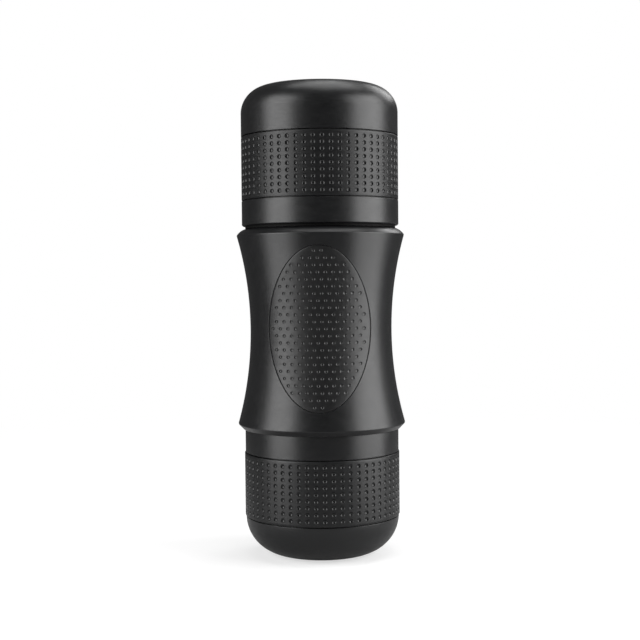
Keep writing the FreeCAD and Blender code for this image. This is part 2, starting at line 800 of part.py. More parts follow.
def make_piston():
    grooves = []
    for index in (0, 1):
        grooves += [
            ("rod_radius", groove(index)),
            ("groove_radius", groove(index)),
            ("groove_radius", f"{groove(index)} + groove_width"),
            ("rod_radius", f"{groove(index)} + groove_width"),
        ]
    rod = turned(
        "piston_rod",
        [
            ("rod_bore", "rod_start"),
            ("rod_radius - rod_edge", "rod_start"),
            ("rod_radius", "rod_start + rod_edge"),
            *grooves,
            ("rod_radius", "rod_end - rod_edge"),
            ("rod_radius - rod_edge", "rod_end"),
            ("0", "rod_end"),
            ("0", "rod_roof"),
            ("rod_bore", "rod_roof"),
        ],
    )
    node(lean(rod), "piston_rod")
    rings = document.addObject("Part::Compound", "piston_seals")
    rings.Links = [turned(f"piston_seal_{index + 1}", seal_outline(index)) for index in (0, 1)]
    node(lean(rings), "piston_seals")
    knob = turned(
        "piston_knob",
        [
            ("0", "rod_end + seat_gap"),
            ("knob_neck_radius", "rod_end + seat_gap"),
            ("knob_neck_radius", "knob_face"),
            ("knob_radius - knob_bevel", "knob_face"),
            ("knob_radius", "knob_face + knob_bevel"),
            ("knob_radius", "knob_face + knob_height - knob_edge", "knob_edge", 1),
            ("knob_radius - knob_edge", "knob_face + knob_height"),
            ("0", "knob_face + knob_height"),
        ],
    )
    add_lugs(knob)
    node(lean(knob), "piston_knob")


def seal_outline(index):
    """A piston seal, eased where it meets the barrel."""
    foot = f"{groove(index)} + seat_gap"
    head = f"{groove(index)} + groove_width - seat_gap"
    return [
        ("groove_radius + fit_gap", foot),
        ("barrel_bore - fit_gap - seal_ease", foot),
        ("barrel_bore - fit_gap", f"{foot} + seal_ease"),
        ("barrel_bore - fit_gap", f"{head} - seal_ease"),
        ("barrel_bore - fit_gap - seal_ease", head),
        ("groove_radius + fit_gap", head),
    ]


def add_lugs(knob):
    """Two locking lugs, opposite each other on the knob's neck."""
    sketch = draw(
        new_sketch(knob, "XY_Plane", "rod_end + lug_foot"),
        [
            ("0", "0"),
            ("lug_half_width", "0"),
            ("lug_half_width", "lug_reach", "lug_radius", 1),
            ("0", "lug_radius"),
        ],
    )
    lug = knob.newObject("PartDesign::Pad", "lug")
    lug.Profile = sketch
    bind(lug, "Length", "lug_height")
    document.recompute()
    ring_of(knob, lug, "2")


def make_manifold():
    solid = joined(
        "manifold_solid",
        [
            cylinder("manifold_foot", "manifold_flange", "manifold_base", "manifold_flange_top"),
            cylinder("manifold_column", "manifold_radius", "manifold_base", "manifold_top"),
            cylinder("inlet_arm", "arm_radius", "arm_start", "arm_top", "-arm_offset"),
            leaning_cylinder("barrel_socket", "socket_outer", "0", "socket_end"),
        ],
    )
    inlet = document.addObject("Part::Cylinder", "inlet_passage")
    inlet.Placement = FreeCAD.Placement(FreeCAD.Vector(), FreeCAD.Rotation(PUMP_AXIS, 90))
    bind(inlet, "Radius", "passage_radius")
    bind(inlet, "Height", "arm_offset + passage_radius + chamber_end")
    bind(inlet, "Placement.Base.y", "-arm_offset - passage_radius")
    bind(inlet, "Placement.Base.z", "inlet_height")
    bores = [
        leaning_cylinder("barrel_bore_cut", "barrel_radius + fit_gap", "chamber_end", "branch_start"),
        inlet,
        cylinder("outlet_passage", "passage_radius", "manifold_base", "manifold_top", "outlet_offset"),
        cylinder("outlet_valve_bore", "valve_bore", "manifold_base", "outlet_valve_top", "outlet_offset"),
        cylinder("inlet_drop", "nipple_bore", "inlet_height", "inlet_valve_top", "-arm_offset"),
        cylinder("inlet_valve_bore", "valve_bore", "inlet_valve_foot", "plug_flange_base", "-arm_offset"),
    ]
    for index, place in enumerate(screw_places()):
        name = f"screw_clearance_{index + 1}"
        hole = cylinder(name, "screw_radius + shell_gap", "manifold_base", "manifold_top")
        put_on_circle(hole, place)
        bores.append(hole)
    for index, bore in enumerate(bores):
        solid = cut(f"manifold_cut_{index + 1}", solid, bore)
    node(solid, "pump_manifold")


def screw_places():
    """The angle of each manifold screw, as expressions, from the one at +Y."""
    return [f"(90 + {index} * 360 / screw_count) * 1 deg" for index in range(int(size("screw_count")))]


def put_on_circle(piece, angle):
    bind(piece, "Placement.Base.x", f"screw_circle * cos({angle})")
    bind(piece, "Placement.Base.y", f"screw_circle * sin({angle})")


def make_valves():
    screws = []
    top = "screw_under_head + screw_head_height"
    for index, place in enumerate(screw_places()):
        shank = cylinder(f"screw_shank_{index + 1}", "screw_radius", "deck_top - screw_depth", top)
        head = cylinder(f"screw_head_{index + 1}", "screw_head", "screw_under_head", top)
        put_on_circle(shank, place)
        put_on_circle(head, place)
        screws.append(joined(f"manifold_screw_{index + 1}", [shank, head]))
    group = document.addObject("Part::Compound", "manifold_screws")
    group.Links = screws
    node(group, "manifold_screws")
    node(turned("outlet_valve", valve_outline("manifold_base"), "outlet_offset"), "outlet_valve")
    node(turned("inlet_valve", valve_outline("inlet_valve_base"), "-arm_offset"), "inlet_valve")
    plug = turned(
        "valve_plug",
        [
            ("nipple_bore", "inlet_valve_top + seat_gap"),
            ("valve_radius", "inlet_valve_top + seat_gap"),
            ("valve_radius", "plug_flange_base"),
            ("plug_flange", "plug_flange_base"),
            ("plug_flange", "plug_flange_top"),
            ("nipple_radius", "plug_flange_top"),
            ("nipple_radius", "nipple_top"),
            ("nipple_bore", "nipple_top"),
        ],
        "-arm_offset",
    )
    node(plug, "valve_plug")
    inner = "nipple_radius + fit_gap"
    tube = band(inner, f"{inner} + tube_wall", "plug_flange_top + seat_gap", "seat_base - seat_gap")
    node(turned("inlet_tube", tube, "-arm_offset"), "inlet_tube")


def valve_outline(foot):
    """A soft one-way valve: a disc with a lip that points down the flow."""
    disc = f"{foot} + valve_height - valve_disc"
    return [
        ("0", foot),
        ("valve_lip", foot),
        ("valve_radius - valve_taper", disc),
        ("valve_radius", disc),
        ("valve_radius", f"{foot} + valve_height"),
        ("0", f"{foot} + valve_height"),
    ]


def make_seat():
    seat = turned(
        "seat_blank",
        [
            ("0", "seat_base"),
            ("seat_radius", "seat_base"),
            ("seat_radius", "tank_bottom - seat_gap"),
            ("seat_thread_root", "seat_thread_start - seam_gap"),
            *threads("seat_thread_root", "seat_thread_crest", "seat_thread_start", 3),
            ("seat_thread_root", "seat_top - tank_edge"),
            ("seat_thread_root - tank_edge", "seat_top"),
            ("seat_bore_radius", "seat_top"),
            ("seat_bore_radius", "seat_base + seat_floor"),
            ("0", "seat_base + seat_floor"),
        ],
    )
    foot = "seat_base - nipple_length"
    nipple = cylinder("seat_nipple", "nipple_radius", foot, "seat_base + seat_floor / 2", "-arm_offset")
    drain = cylinder("seat_drain", "nipple_bore", foot, "seat_top", "-arm_offset")
    node(cut("tank_seat", joined("seat_solid", [seat, nipple]), drain), "tank_seat")
    foot = "shoulder_height + seat_gap"
    ring = band("seat_radius + fit_gap", "ring_radius", foot, "tank_bottom - seat_gap")
    node(turned("gap_ring", ring), "gap_ring")


def make_tank():
    tank = turned(
        "tank_shell",
        [
            ("tank_socket_radius", "tank_bottom"),
            ("tank_radius - tank_edge", "tank_bottom"),
            ("tank_radius", "tank_bottom + tank_edge"),
            ("tank_radius", "tank_sleeve_start - seam_gap"),
            ("tank_sleeve_seat", "tank_sleeve_start - seam_gap"),
            ("tank_sleeve_seat", "tank_sleeve_end + seam_gap"),
            ("tank_radius", "tank_sleeve_end + seam_gap"),
            ("tank_radius", "tank_corner - tank_turn_height", "tank_turn", 1),
            ("tank_crown_radius", "tank_corner", "tank_crown_curve", 1),
            ("0", "tank_top"),
            ("0", "tank_roof"),
            ("tank_bore - tank_inner_turn", "tank_roof", "tank_inner_turn", -1),
            ("tank_bore", "tank_roof - tank_inner_turn"),
            ("tank_bore", "tank_step"),
            ("tank_socket_radius", "tank_step"),
        ],
    )
    node(tank, "tank_shell")
    inner = "tank_sleeve_seat + fit_gap"
    sleeve = sleeve_outline(inner, "tank_radius", "tank_sleeve_start", "tank_sleeve_end")
    node(turned("tank_sleeve", sleeve), "tank_sleeve")
    foot = "seat_top + seat_gap"
    gasket = band("seat_bore_radius", "seat_thread_root - tank_edge", foot, f"{foot} + tank_gasket_height")
    node(turned("tank_gasket", gasket), "tank_gasket")


def helix_point(turn, radius, foot, pitch):
    """A point on the spring's centre line and the direction that the wire runs there."""
    angle = 2 * math.pi * turn
    place = FreeCAD.Vector(radius * math.cos(angle), radius * math.sin(angle), foot + pitch * turn)
    slope = pitch / (2 * math.pi)
    heading = FreeCAD.Vector(-radius * math.sin(angle), radius * math.cos(angle), slope).normalize()
    return place, heading


def arc_from(start, heading, stop):
    """The arc that leaves start along a heading and ends at stop."""
    chord = stop - start
    along = chord.normalize()
    length = (stop - start).Length
    bulge = heading - along * heading.dot(along)
    turn = math.acos(max(-1.0, min(1.0, heading.dot(along))))
    middle = (start + stop) * 0.5 + bulge.normalize() * (length / 2 * math.tan(turn / 2))
    return Part.Arc(start, middle, stop).toShape()


def biarc(start, heading, stop, arrival):
    """Two arcs that run on from each other, with the given direction at each end."""
    chord = stop - start
    both = heading + arrival
    spread = 2 * (1 - heading.dot(arrival))
    reach = (-chord.dot(both) + math.sqrt(chord.dot(both) ** 2 + spread * chord.dot(chord))) / spread
    meeting = (start + stop + (heading - arrival) * reach) * 0.5
    first = arc_from(start, heading, meeting)
    back = arc_from(stop, arrival * -1, meeting)
    return [first, back]


def make_spring():
    """The return spring, one wire wound up inside the hollow piston rod."""
    radius = size("spring_radius")
    wire = size("spring_wire")
    turns = size("spring_turns")
    foot = size("chamber_end + spring_wire + seat_gap")
    pitch = (size("rod_roof - spring_wire - seat_gap") - foot) / turns
    edges = []
    for half in range(int(round(turns * 2))):
        start, heading = helix_point(half / 2, radius, foot, pitch)
        stop, arrival = helix_point((half + 1) / 2, radius, foot, pitch)
        edges += biarc(start, heading, stop, arrival)
    start, heading = helix_point(0, radius, foot, pitch)
    section = Part.Wire(Part.makeCircle(wire, start, heading))
    path = Part.Wire(Part.__sortEdges__(edges))
    sweep = Part.BRepOffsetAPI.MakePipeShell(path)
    sweep.add(section)
    sweep.build()
    sweep.makeSolid()
    solid = sweep.shape()
    steps = 12
    places = [helix_point(index / steps, radius, foot, pitch)[0] for index in range(int(turns * steps) + 1)]
    apart = min(
        (places[one] - places[two]).Length
        for one in range(len(places))
        for two in range(one + steps // 2, len(places))
    )
    print(f"piston_spring: least gap to itself {apart - 2 * wire:.2f} mm")
    filled = solid.Volume / (math.pi * wire**2 * path.Length)
    print(f"piston_spring: volume {filled:.4f} of section times length")
    spring = document.addObject("Part::Feature", "piston_spring")
    spring.Shape = solid
    node(lean(spring), "piston_spring")


def check_and_write():
    """Stop at any failed object or bad shape, then write one file for each piece."""
    document.recompute()
    for thing in document.Objects:
        if {"Invalid", "Error"} & set(thing.State):
            raise RuntimeError(f"{thing.Name} failed: {thing.State}")
    for thing in nodes:
        if thing.Shape.isNull() or not thing.Shape.isValid() or not thing.Shape.Solids:
            raise RuntimeError(f"{thing.Label} has no valid solid")
    os.makedirs("parts", exist_ok=True)
    for thing in nodes:
        thing.Shape.exportStep(os.path.join("parts", f"{thing.Label}.step"))


fill_sheet()
make_cup()
make_head()
make_basket()
make_neck()
make_shell()
make_pump()
make_piston()
make_spring()
make_manifold()
make_valves()
make_seat()
make_tank()
check_and_write()
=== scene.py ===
import math

import bpy
from mathutils import Matrix, Vector


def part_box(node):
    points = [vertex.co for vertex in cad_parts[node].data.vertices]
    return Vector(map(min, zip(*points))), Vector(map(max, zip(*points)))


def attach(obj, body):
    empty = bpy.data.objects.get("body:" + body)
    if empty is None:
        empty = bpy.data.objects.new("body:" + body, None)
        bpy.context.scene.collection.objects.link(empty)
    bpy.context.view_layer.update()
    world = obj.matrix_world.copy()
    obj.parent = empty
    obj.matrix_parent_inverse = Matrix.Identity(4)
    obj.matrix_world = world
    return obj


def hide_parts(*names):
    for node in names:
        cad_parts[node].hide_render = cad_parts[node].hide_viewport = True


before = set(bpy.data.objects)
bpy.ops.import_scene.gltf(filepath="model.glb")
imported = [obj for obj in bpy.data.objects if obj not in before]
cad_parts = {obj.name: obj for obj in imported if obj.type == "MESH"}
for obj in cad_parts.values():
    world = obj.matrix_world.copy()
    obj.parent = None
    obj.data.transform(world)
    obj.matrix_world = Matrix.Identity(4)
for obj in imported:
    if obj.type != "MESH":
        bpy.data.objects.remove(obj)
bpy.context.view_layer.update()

# The pitted bands. A hollow's ring lies at a share of its radius and a share of its depth, and a step of the
# band's eased edge goes up and out by shares of the ease.
BAND_COLUMNS = 58
BAND_ROWS = 9
BAND_MARGIN = 0.0006
BAND_EASE = 0.00028
BAND_EASE_STEPS = ((0.7, -0.3), (0.3, -0.7))
BAND_WALL = 0.0011
BAND_SEAM = 0.00012
BAND_WELD = 0.00001
PIT_RADIUS = 0.00084
PIT_DEPTH = 0.00046
PIT_SIDES = 16
PIT_RINGS = ((1.0, 0.0), (0.80, 0.42), (0.46, 0.84))

# The grip pad, which follows the body's waist and is larger all round than the CAD's by its overlap
GRIP_OVERLAP = 0.00015
GRIP_THICKNESS = 0.0013
GRIP_ROWS = 23
GRIP_COLUMNS = 15
GRIP_ROW_PITCH = 0.00252
GRIP_COLUMN_PITCH = 0.00272
GRIP_SHIFT = -0.0004
GRIP_CLEAR_EDGE = 0.00145
GRIP_WELD = 0.000004
DIMPLE_RADIUS = 0.00061
DIMPLE_DEPTH = 0.00031
DIMPLE_SIDES = 14
DIMPLE_RINGS = ((0.76, 0.46), (0.40, 0.86))
OVAL_SIDES = 160
OVAL_LIP = ((0.00034, 0.0), (0.00016, 0.00004), (0.00004, 0.00013), (0.0, 0.00026))
WAIST_RADIUS = 0.0264
WAIST_HEIGHT = 0.08385
WAIST_CURVE = 0.128964

# The hollows' shading: how far the crease reaches from the lip, and how fast the polish grows with the depth
CREASE_REACH = 0.01
POLISH_RISE = 2.0

# The moulded plastics: their noises' waves to the metre, and what each noise gives to tone and relief
DRIFT_WAVES = 60.0
HANDLED_WAVES = 240.0
MARKS_WAVES = 330.0
MARKS_FLATNESS = (1.0, 1.0, 7.0)
MARKS_GAIN = 2.4
DRIFT_TONE = 0.3
SKIN_TONE = 0.4
MARKS_TONE = 0.3
SKIN_RELIEF = 0.7
MARKS_RELIEF = 0.3
RELIEF_STRENGTH = 0.8
MOULDED_EDGE = 0.00028
MOULDED_EDGE_SAMPLES = 6
PIT_POLISH = 0.14

# The other finishes: how far their noises move the roughness
GLOSS_WEAR = 0.09
SILICONE_ROUGHNESS = 0.55
BLOOM_WEAR = 0.2
LINES_WEAR = 0.16

# The studio. For reflected rays the floor grows glossy between two distances, FLOOR_MATT and FLOOR_SATIN.
FLOOR_REACH = 4.0
FLOOR_DROP = 0.0001
FLOOR_CHALK = (0.45, 0.45, 0.45, 1.0)
FLOOR_GLOW = 0.60
FLOOR_NEAR = 0.10
FLOOR_FAR = 0.45
FLOOR_MATT = 0.08
FLOOR_SATIN = 0.28
FLOOR_GLOSS = 0.80
FLOOR_SHEEN = {"Color": (0.9, 0.9, 0.9, 1.0), "Roughness": 0.25}
MIRRORED_WHITE = 0.08
WORLD_LIGHT = 0.05
WHITE = (1.0, 1.0, 1.0, 1.0)
AIM_HEIGHT = 0.09
SOFTBOXES = {
    "left_softbox": {"place": (-0.79, -0.455, 0.40), "across": 0.72, "up": 0.90, "power": 10.8},
    "right_softbox": {"place": (0.91, -0.20, 0.38), "across": 0.94, "up": 0.90, "power": 14.5},
    "rear_softbox": {"place": (0.62, 0.78, 0.78), "across": 0.50, "up": 0.50, "power": 3.0},
    "top_softbox": {"place": (0.1, 0.1, 1.1), "across": 0.80, "up": 0.80, "power": 6.0},
}

# The photograph's point of view
VIEW_DISTANCE = 0.457
VIEW_TURN = math.radians(1.4)
VIEW_HEIGHT = 0.1039
VIEW_PITCH = math.radians(2.1)
VIEW_ROLL = math.radians(-0.52)
VIEW_ASIDE = -0.00037
VIEW_LENS = 68.6
VIEW_SENSOR = 36.0
VIEW_NEAREST = 0.01

# The colour sockets of a Mix node
MIX_FIRST = 6
MIX_SECOND = 7
MIX_RESULT = 2


class Value:
    """An output socket of a graph; arithmetic on it adds Math nodes."""

    def __init__(self, graph, socket):
        self.graph = graph
        self.socket = socket

    def maths(self, operation, other=0.0):
        return self.graph.maths(operation, self, other)

    def also(self, output):
        """Another output of the same node."""
        return Value(self.graph, self.socket.node.outputs[output])

    def __add__(self, other):
        return self.graph.maths("ADD", self, other)

    def __radd__(self, other):
        return self.graph.maths("ADD", other, self)

    def __sub__(self, other):
        return self.graph.maths("SUBTRACT", self, other)

    def __mul__(self, other):
        return self.graph.maths("MULTIPLY", self, other)

    def __truediv__(self, other):
        return self.graph.maths("DIVIDE", self, other)

    def __gt__(self, other):
        return self.graph.maths("GREATER_THAN", self, other)

    def __lt__(self, other):
        return self.graph.maths("LESS_THAN", self, other)


class Graph:
    """A node tree, filled one node at a time."""

    def __init__(self, tree):
        self.tree = tree

    def node(self, kind, settings=None, sockets=None, output=0):
        """A node with its settings made first, then its sockets given values or links."""
        made = self.tree.nodes.new(kind)
        for name, value in (settings or {}).items():
            setattr(made, name, value)
        for name, value in (sockets or {}).items():
            if isinstance(value, Value):
                self.tree.links.new(value.socket, made.inputs[name])
            else:
                made.inputs[name].default_value = value
        return Value(self, made.outputs[output]) if made.outputs else None

    def maths(self, operation, first, second=0.0):
        return self.node("ShaderNodeMath", {"operation": operation}, {0: first, 1: second})

    def vector(self, operation, first, second=(0.0, 0.0, 0.0)):
        return self.node("ShaderNodeVectorMath", {"operation": operation}, {0: first, 1: second})

    def length(self, vector):
        return self.node("ShaderNodeVectorMath", {"operation": "LENGTH"}, {0: vector}, "Value")

    def split(self, vector):
        across = self.node("ShaderNodeSeparateXYZ", None, {0: vector})
        return across, across.also(1), across.also(2)

    def combine(self, across, deep, up):
        return self.node("ShaderNodeCombineXYZ", None, {0: across, 1: deep, 2: up})


def finish_graph(name, shader_sockets):
    """A material on the Principled shader. Returns it, its graph and its shader node."""
    material = bpy.data.materials.new(name)
    material.use_nodes = True
    material.node_tree.nodes.clear()
    graph = Graph(material.node_tree)
    shader = graph.node("ShaderNodeBsdfPrincipled", None, shader_sockets)
    graph.node("ShaderNodeOutputMaterial", None, {"Surface": shader})
    return material, graph, shader.socket.node


def feed(graph, shader, **links):
    """Link values to the shader's sockets, named with their spaces as underscores."""
    for name, value in links.items():
        graph.tree.links.new(value.socket, shader.inputs[name.replace("_", " ")])


def coordinates(graph):
    return graph.node("ShaderNodeTexCoord", output="Object")


def stretched(graph, place, scale):
    return graph.node("ShaderNodeMapping", {"vector_type": "POINT"}, {"Vector": place, "Scale": scale})


def noise(graph, place, waves, detail=2.0, roughness=0.5):
    """A noise between 0 and 1 with so many waves to the metre."""
    return graph.node(
        "ShaderNodeTexNoise",
        {"noise_dimensions": "3D"},
        {"Vector": place, "Scale": waves, "Detail": detail, "Roughness": roughness},
        "Fac",
    )


def mixed(graph, amount, dark, light):
    """A colour between two, by an amount."""
    return graph.node(
        "ShaderNodeMix",
        {"data_type": "RGBA"},
        {"Factor": amount, MIX_FIRST: (*dark, 1.0), MIX_SECOND: (*light, 1.0)},
        MIX_RESULT,
    )


def bump(graph, strength, distance, height, **others):
    sockets = {"Strength": strength, "Distance": distance, "Height": height, **others}
    return graph.node("ShaderNodeBump", None, sockets)


def moulded_plastic(name, dark, light, roughness, spread, grain, relief, specular=0.5, polish=0.0):
    """Moulded plastic: a spark-eroded grain and faint rings of tool marks.

    With polish, the hollows of a textured piece are smoother than its skin; without, all edges are eased.
    """
    material, graph, shader = finish_graph(name, {"Specular IOR Level": specular, "IOR": 1.5})
    place = coordinates(graph)
    drift = noise(graph, place, waves=DRIFT_WAVES, detail=3.0)
    skin = noise(graph, place, waves=grain, detail=2.0, roughness=0.6)
    handled = noise(graph, place, waves=HANDLED_WAVES, detail=4.0, roughness=0.6)
    flattened = stretched(graph, place, MARKS_FLATNESS)
    marks = noise(graph, flattened, waves=MARKS_WAVES, detail=3.0, roughness=0.6)
    tone = drift * DRIFT_TONE + skin * SKIN_TONE + marks * MARKS_TONE
    feed(graph, shader, Base_Color=mixed(graph, tone, dark, light))
    worn = roughness + (handled + skin - 1.0) * spread + (marks - 0.5) * spread * MARKS_GAIN
    below = {}
    if polish:
        worn = worn - graph.node("ShaderNodeAttribute", {"attribute_name": "pit"}, None, "Fac") * polish
    else:
        samples = {"samples": MOULDED_EDGE_SAMPLES}
        below["Normal"] = graph.node("ShaderNodeBevel", samples, {"Radius": MOULDED_EDGE})
    height = skin * SKIN_RELIEF + marks * MARKS_RELIEF
    grained = bump(graph, strength=RELIEF_STRENGTH, distance=relief, height=height, **below)
    feed(graph, shader, Roughness=worn, Normal=grained)
    return material


def gloss_plastic(name, dark, light, roughness):
    """Polished black plastic with hairline wear."""
    material, graph, shader = finish_graph(name, {"Specular IOR Level": 0.5, "IOR": 1.5})
    place = coordinates(graph)
    drift = noise(graph, place, waves=90.0, detail=3.0)
    smear = noise(graph, place, waves=420.0, detail=5.0, roughness=0.65)
    feed(graph, shader, Base_Color=mixed(graph, drift, dark, light))
    feed(graph, shader, Roughness=roughness + smear * GLOSS_WEAR)
    feed(graph, shader, Normal=bump(graph, strength=0.12, distance=0.00002, height=smear))
    return material


def silicone_rubber(name, dark, light, specular=0.35, sheen=0.15):
    """Matt silicone with a dusty bloom."""
    material, graph, shader = finish_graph(name, {"Specular IOR Level": specular, "Sheen Weight": sheen})
    place = coordinates(graph)
    bloom = noise(graph, place, waves=300.0, detail=4.0, roughness=0.6)
    skin = noise(graph, place, waves=5200.0, detail=1.0)
    feed(graph, shader, Base_Color=mixed(graph, bloom, dark, light))
    feed(graph, shader, Roughness=SILICONE_ROUGHNESS + bloom * BLOOM_WEAR)
    feed(graph, shader, Normal=bump(graph, strength=0.3, distance=0.00001, height=skin))
    return material


def turned_steel(name, dark, light, roughness, stretch):
    """Stainless steel with fine lines, which lie across the stretched direction."""
    material, graph, shader = finish_graph(name, {"Specular IOR Level": 0.5, "Metallic": 1.0})
    place = coordinates(graph)
    lines = noise(graph, stretched(graph, place, stretch), waves=900.0, detail=4.0, roughness=0.7)
    drift = noise(graph, place, waves=70.0, detail=3.0)
    feed(graph, shader, Base_Color=mixed(graph, drift * 0.5 + lines * 0.5, dark, light))
    feed(graph, shader, Roughness=roughness + (lines - 0.5) * LINES_WEAR)
    feed(graph, shader, Normal=bump(graph, strength=0.25, distance=0.00001, height=lines))
    return material


def make_finishes():
    """The finish of every record slot, by its name, and that of the ring in the gap, which is near-black and
    dull: painted shade for the gap.
    """
    return {
        "charcoal_plastic": moulded_plastic(
            "charcoal_plastic",
            dark=(0.0040, 0.0041, 0.0045),
            light=(0.0068, 0.0070, 0.0075),
            roughness=0.35,
            spread=0.10,
            grain=3000.0,
            relief=0.000016,
            specular=0.45,
        ),
        "sleeve_plastic": moulded_plastic(
            "sleeve_plastic",
            dark=(0.0036, 0.0037, 0.0040),
            light=(0.0064, 0.0066, 0.0070),
            roughness=0.40,
            spread=0.12,
            grain=2800.0,
            relief=0.000018,
            specular=0.38,
            polish=PIT_POLISH,
        ),
        "grip_rubber": moulded_plastic(
            "grip_rubber",
            dark=(0.0046, 0.0047, 0.0049),
            light=(0.0076, 0.0077, 0.0080),
            roughness=0.40,
            spread=0.10,
            grain=3000.0,
            relief=0.000016,
            specular=0.45,
            polish=PIT_POLISH,
        ),
        "core_plastic": moulded_plastic(
            "core_plastic",
            dark=(0.030, 0.030, 0.032),
            light=(0.042, 0.042, 0.045),
            roughness=0.42,
            spread=0.10,
            grain=2600.0,
            relief=0.000012,
        ),
        "gloss_plastic": gloss_plastic(
            "gloss_plastic",
            dark=(0.005, 0.005, 0.0052),
            light=(0.008, 0.008, 0.0085),
            roughness=0.07,
        ),
        # The ring in the gap: darker and duller than its gloss slot, painted shade standing in for the
        # shadow inside the gap.
        "painted_shade_ring": silicone_rubber(
            "painted_shade_ring",
            dark=(0.0012, 0.0012, 0.0013),
            light=(0.0018, 0.0018, 0.0019),
            specular=0.12,
            sheen=0.0,
        ),
        "silicone": silicone_rubber(
            "silicone",
            dark=(0.045, 0.045, 0.047),
            light=(0.065, 0.065, 0.068),
        ),
        "steel": turned_steel(
            "steel",
            dark=(0.50, 0.50, 0.485),
            light=(0.62, 0.62, 0.60),
            roughness=0.26,
            stretch=(1.0, 1.0, 9.0),
        ),
        "spring_steel": turned_steel(
            "spring_steel",
            dark=(0.42, 0.42, 0.41),
            light=(0.54, 0.54, 0.52),
            roughness=0.3,
            stretch=(3.0, 3.0, 3.0),
        ),
    }


def position(graph):
    return graph.node("GeometryNodeInputPosition")


def moved(graph, shape, place, selection=True):
    sockets = {"Geometry": shape, "Selection": selection, "Position": place}
    return graph.node("GeometryNodeSetPosition", None, sockets)


def shifted(graph, shape, offset):
    return graph.node("GeometryNodeSetPosition", None, {"Geometry": shape, "Offset": offset})


def joined(graph, *shapes):
    both = graph.node("GeometryNodeJoinGeometry")
    for shape in shapes:
        graph.tree.links.new(shape.socket, both.socket.node.inputs["Geometry"])
    return both


def merged(graph, shape, distance):
    return graph.node("GeometryNodeMergeByDistance", None, {"Geometry": shape, "Distance": distance})


def extruded(graph, mode, shape, selection, **offset):
    """Extrude what is selected. Returns the shape and the selection of its new end."""
    sockets = {"Mesh": shape, "Selection": selection, **offset}
    step = graph.node("GeometryNodeExtrudeMesh", {"mode": mode}, sockets)
    return step, step.also("Top")


def raised_in_place(graph, mode, shape, selection):
    """Extrude by nothing, for an end that is moved next."""
    return extruded(graph, mode, shape, selection, **{"Offset Scale": 0.0})


def circle(graph, sides, radius, fill="NONE"):
    return graph.node("GeometryNodeMeshCircle", {"fill_type": fill}, {"Vertices": sides, "Radius": radius})


def grid(graph, columns, rows, column_pitch, row_pitch):
    """A point at each place of a flat field of columns and rows."""
    return graph.node(
        "GeometryNodeMeshGrid",
        None,
        {
            "Size X": column_pitch * (columns - 1),
            "Size Y": row_pitch * (rows - 1),
            "Vertices X": columns,
            "Vertices Y": rows,
        },
    )


def copied(graph, places, shape):
    """A copy of the shape at every point, made real."""
    copies = graph.node("GeometryNodeInstanceOnPoints", None, {"Points": places, "Instance": shape})
    return graph.node("GeometryNodeRealizeInstances", None, {"Geometry": copies})


def open_edges(graph):
    """The edges with a single face, along a sheet's border."""
    return graph.node("GeometryNodeInputMeshEdgeNeighbors") < 1.5


def creased(graph, shape, radius, sides):
    """Keep the shading crisp along the lip of a round hollow, at this radius from the origin."""
    lip = radius * math.cos(math.pi / sides)
    near = (graph.length(position(graph)) - lip).maths("ABSOLUTE") < radius * CREASE_REACH
    return graph.node(
        "GeometryNodeSetShadeSmooth",
        {"domain": "EDGE"},
        {0: shape, "Selection": near, "Shade Smooth": False},
    )


def hollowed(graph, disc, radius, depth, rings):
    """Press a round face down ring by ring into a shallow bowl, and mark how deep each point lies."""
    shape, floor = disc, True
    for share, sunk in rings:
        step, floor = raised_in_place(graph, "FACES", shape, floor)
        heading = graph.vector("NORMALIZE", graph.vector("MULTIPLY", position(graph), (1.0, 1.0, 0.0)))
        across, deep, _ = graph.split(heading)
        reach = radius * share
        shape = moved(graph, step, graph.combine(across * reach, deep * reach, depth * -sunk), floor)
    up = graph.split(position(graph))[2]
    pit = (up / depth * -POLISH_RISE).maths("MINIMUM", 1.0)
    return graph.node(
        "GeometryNodeStoreNamedAttribute",
        {"data_type": "FLOAT", "domain": "POINT"},
        {"Geometry": shape, "Name": "pit", "Value": pit},
    )


def pit_cell(graph, sizes, pitch_round, pitch_up):
    """One pit in the middle of a flat cell: the rim of a unit disc, pushed out to the cell's border."""
    disc = circle(graph, sizes["Sides"], 1.0, "NGON")
    cell = hollowed(graph, disc, sizes["Pit Radius"], sizes["Pit Depth"], PIT_RINGS)
    cell = creased(graph, cell, sizes["Pit Radius"], PIT_SIDES)
    across, up, _ = graph.split(position(graph))
    reach = across.maths("ABSOLUTE").maths("MAXIMUM", up.maths("ABSOLUTE"))
    border = graph.combine(across / reach * pitch_round / 2, up / reach * pitch_up / 2, 0.0)
    rim = graph.length(position(graph)) > 0.5
    return moved(graph, cell, border, rim)


